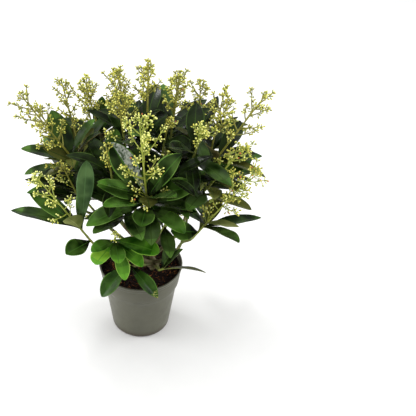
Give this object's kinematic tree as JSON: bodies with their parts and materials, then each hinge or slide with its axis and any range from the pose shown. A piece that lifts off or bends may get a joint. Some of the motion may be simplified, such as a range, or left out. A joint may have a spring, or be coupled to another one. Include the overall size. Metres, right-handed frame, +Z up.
{
  "type": "potted skimmia shrub",
  "caption": "Flowering evergreen shrub with leathery leaves and upright bud sprays, growing in a round grey-brown nursery pot that stands on its flat base.",
  "frame": {"origin": "centre of the pot's flat underside", "axes": "+Z up from the underside through the crown, -Y towards the front of the plant, +X to its right"},
  "size_m": [0.353, 0.2898, 0.4523],
  "materials": {
    "pot": "satin moulded plastic, grey-brown",
    "compost": "damp dark peat with bark chips",
    "bark": "thin green-brown bark, fine lengthwise cracks",
    "foliage": "leathery dark green leaves, glossy above and pale olive below",
    "blossom": "pale yellow-green flower buds on green stalks"
  },
  "bodies": {
    "root": {"pot": "pot", "compost": "compost", "main_stem": "bark", "bough_lower_right": "bark", "bough_young_front": "bark", "bough_low_front": "bark", "bough_low_right": "bark", "bough_lower_left": "bark", "bough_centre_left": "bark", "bough_centre_right": "bark", "bough_low_back_right": "bark", "bough_low_back_left": "bark", "bough_back_left": "bark", "bough_back_right": "bark", "bough_right": "bark", "bough_upper_left": "bark", "bough_front": "bark", "bough_inner_left": "bark", "bough_inner_right": "bark", "bough_right_back": "bark", "bough_left_back": "bark", "bough_back": "bark", "bough_top": "bark", "bough_top_right": "bark", "foliage_lower_right": "foliage", "foliage_young_front": "foliage", "foliage_low_front": "foliage", "foliage_low_right": "foliage", "foliage_lower_left": "foliage", "foliage_centre_left": "foliage", "foliage_centre_right": "foliage", "foliage_low_back_right": "foliage", "foliage_low_back_left": "foliage", "foliage_back_left": "foliage", "foliage_back_right": "foliage", "foliage_right": "foliage", "foliage_upper_left": "foliage", "foliage_front": "foliage", "foliage_inner_left": "foliage", "foliage_inner_right": "foliage", "foliage_right_back": "foliage", "foliage_left_back": "foliage", "foliage_back": "foliage", "foliage_top": "foliage", "foliage_top_right": "foliage"}
  },
  "joints": []
}
